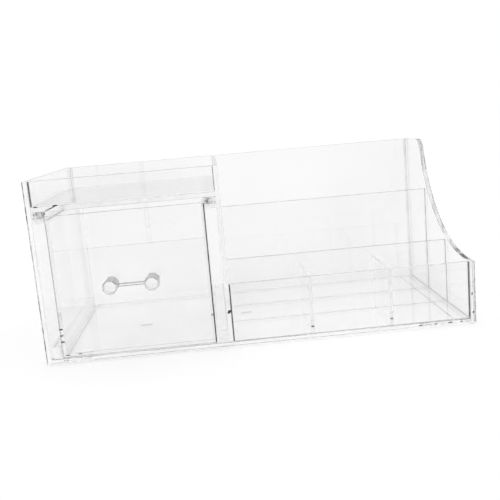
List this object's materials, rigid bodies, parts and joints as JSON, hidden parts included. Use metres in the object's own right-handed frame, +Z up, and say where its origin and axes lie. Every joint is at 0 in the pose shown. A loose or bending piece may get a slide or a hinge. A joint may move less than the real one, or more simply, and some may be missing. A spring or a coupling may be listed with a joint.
{
  "type": "desk organizer with drawer",
  "caption": "Clear sheet-plastic desk organizer: pull-out drawer under a shallow tray, stepped rows beside it, swept right side.",
  "frame": {"origin": "on the standing surface, under the middle of the case's footprint (the handle stands out beyond it)", "axes": "+X across the width to the right as seen from the front, +Y from the front to the back, +Z up; the drawer opens towards -Y"},
  "size_m": [0.304, 0.1645, 0.128],
  "materials": {
    "clear_sheet": "clear cast sheet with polished faces and flame-polished edges",
    "clear_strip": "clear sawn strip with faintly satin ends",
    "clear_moulding": "clear glossy injection moulding with crisp facets"
  },
  "bodies": {
    "case": {"base_panel": "clear_sheet", "back_panel": "clear_sheet", "back_rib": "clear_sheet", "left_side_panel": "clear_sheet", "centre_wall": "clear_sheet", "right_side_panel": "clear_sheet", "tray_floor": "clear_sheet", "tray_front_panel": "clear_sheet", "rear_partition": "clear_sheet", "middle_partition": "clear_sheet", "front_panel": "clear_sheet", "divider_left": "clear_sheet", "divider_right": "clear_sheet", "kicker_rail_left": "clear_strip", "kicker_rail_right": "clear_strip", "drawer_guide_left": "clear_strip", "drawer_guide_right": "clear_strip"},
    "drawer": {"drawer_front": "clear_sheet", "drawer_floor": "clear_sheet", "drawer_left_side": "clear_sheet", "drawer_right_side": "clear_sheet", "drawer_back": "clear_sheet", "drawer_flange_left": "clear_strip", "drawer_flange_right": "clear_strip", "drawer_handle": "clear_moulding"}
  },
  "joints": [
    {"name": "drawer_slide", "type": "slide", "parent": "case", "child": "drawer", "axis": [0, -1, 0], "range_m": [0, 0.11]}
  ]
}
